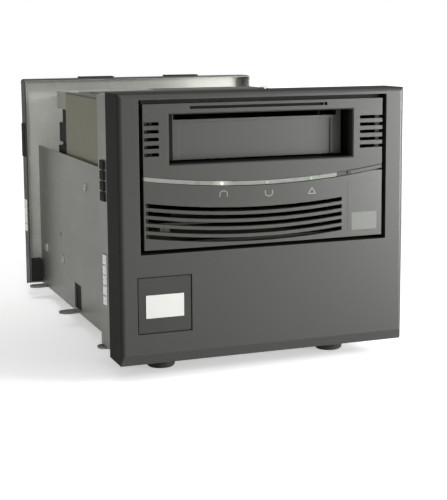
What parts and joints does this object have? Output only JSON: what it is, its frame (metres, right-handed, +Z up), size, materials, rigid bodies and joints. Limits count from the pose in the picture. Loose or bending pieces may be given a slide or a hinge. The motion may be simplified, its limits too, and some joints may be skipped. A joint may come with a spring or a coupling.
{
  "type": "cartridge tape drive in desktop chassis",
  "caption": "Desktop cartridge tape drive without its outer cover: moulded front with hinged tape door, bowed grille and light strip, sheet-metal tray, rear panel with fan and ports.",
  "frame": {"origin": "centre of the bounding box in plan, on the plane the feet stand on", "axes": "+X across the width to the right seen from the front, +Y from the front to the rear panel, +Z up"},
  "size_m": [0.1774, 0.2619, 0.1627],
  "materials": {
    "bezel": "fine moulded grain",
    "drive_face": "fine moulded grain",
    "badge": "satin, bare",
    "light_strip": "pale translucent",
    "lens": "clear tinted",
    "circuit_board": "solder mask",
    "black_moulding": "moulded",
    "casting": "blasted casting",
    "zinc_sheet": "zinc plated sheet",
    "steel": "plated",
    "motor_can": "plated can",
    "white_moulding": "moulded",
    "roller_alloy": "turned",
    "head": "lapped",
    "gasket": "foam gasket",
    "contact": "bright spring strip",
    "supply_case": "black painted sheet",
    "port_shell": "nickel shell",
    "rubber": "moulded rubber"
  },
  "bodies": {
    "chassis": {"bezel_frame": "bezel", "lower_panel": "bezel", "drive_bezel": "drive_face", "grille_panel": "drive_face", "badge_plate": "badge", "light_strip": "light_strip", "status_lenses": "lens", "front_board": "circuit_board", "main_board": "circuit_board", "eject_switch": "black_moulding", "board_chips": "black_moulding", "signal_connector": "black_moulding", "power_connector": "black_moulding", "corner_blocks": "black_moulding", "power_inlet": "black_moulding", "rocker_housing": "black_moulding", "fan_frame": "black_moulding", "drive_base": "casting", "drive_top_cover": "zinc_sheet", "deck_plate": "zinc_sheet", "connector_hood": "zinc_sheet", "chassis_tray": "zinc_sheet", "front_frame": "zinc_sheet", "rear_panel": "zinc_sheet", "door_pins": "steel", "receiver_posts": "steel", "roller_posts": "steel", "head_rods": "steel", "bezel_screws": "steel", "cover_screws": "steel", "fan_guard": "steel", "fan_screws": "steel", "jack_screws": "steel", "chassis_screws": "steel", "inlet_pins": "steel", "supply_motor": "motor_can", "takeup_motor": "motor_can", "head_motor": "motor_can", "gasket_pads": "gasket", "contact_fingers": "contact", "power_supply": "supply_case", "signal_ports": "port_shell", "rubber_feet": "rubber"},
    "door": {"tape_door": "drive_face"},
    "eject": {"eject_button": "drive_face"},
    "carriage": {"receiver": "zinc_sheet"},
    "hub": {"supply_hub": "white_moulding"},
    "reel": {"takeup_reel": "white_moulding"},
    "roller_a": {"guide_roller_1": "roller_alloy"},
    "roller_b": {"guide_roller_2": "roller_alloy"},
    "roller_c": {"guide_roller_3": "roller_alloy"},
    "roller_d": {"guide_roller_4": "roller_alloy"},
    "head": {"head_block": "head"},
    "fan": {"fan_rotor": "black_moulding"},
    "switch": {"power_rocker": "black_moulding"}
  },
  "joints": [
    {"name": "door_swing", "type": "hinge", "parent": "chassis", "child": "door", "pos_m": [-0.002, -0.1175, 0.1514], "axis": [1, 0, 0], "range_deg": [0, 88]},
    {"name": "eject_press", "type": "slide", "parent": "chassis", "child": "eject", "axis": [0, 1, 0], "range_m": [0, 0.0015]},
    {"name": "carriage_drop", "type": "slide", "parent": "chassis", "child": "carriage", "axis": [0, 0, -1], "range_m": [0, 0.0045]},
    {"name": "hub_spin", "type": "hinge", "parent": "chassis", "child": "hub", "pos_m": [-0.002, -0.0522, 0.11365], "axis": [0, 0, 1], "continuous": true},
    {"name": "reel_spin", "type": "hinge", "parent": "chassis", "child": "reel", "pos_m": [0.03, 0.0389, 0.12995], "axis": [0, 0, 1], "continuous": true},
    {"name": "roller_a_spin", "type": "hinge", "parent": "chassis", "child": "roller_a", "pos_m": [-0.06, 0.0109, 0.12995], "axis": [0, 0, 1], "continuous": true},
    {"name": "roller_b_spin", "type": "hinge", "parent": "chassis", "child": "roller_b", "pos_m": [-0.062, 0.0289, 0.12995], "axis": [0, 0, 1], "continuous": true},
    {"name": "roller_c_spin", "type": "hinge", "parent": "chassis", "child": "roller_c", "pos_m": [-0.021, 0.0329, 0.12995], "axis": [0, 0, 1], "continuous": true},
    {"name": "roller_d_spin", "type": "hinge", "parent": "chassis", "child": "roller_d", "pos_m": [-0.01, 0.0149, 0.12995], "axis": [0, 0, 1], "continuous": true},
    {"name": "head_lift", "type": "slide", "parent": "chassis", "child": "head", "axis": [0, 0, 1], "range_m": [-0.003, 0.003]},
    {"name": "fan_spin", "type": "hinge", "parent": "chassis", "child": "fan", "pos_m": [-0.0273, 0.1083, 0.12], "axis": [0, 1, 0], "continuous": true},
    {"name": "switch_tip", "type": "hinge", "parent": "chassis", "child": "switch", "pos_m": [0.026, 0.124, 0.04], "axis": [1, 0, 0], "range_deg": [-20, 0]}
  ]
}
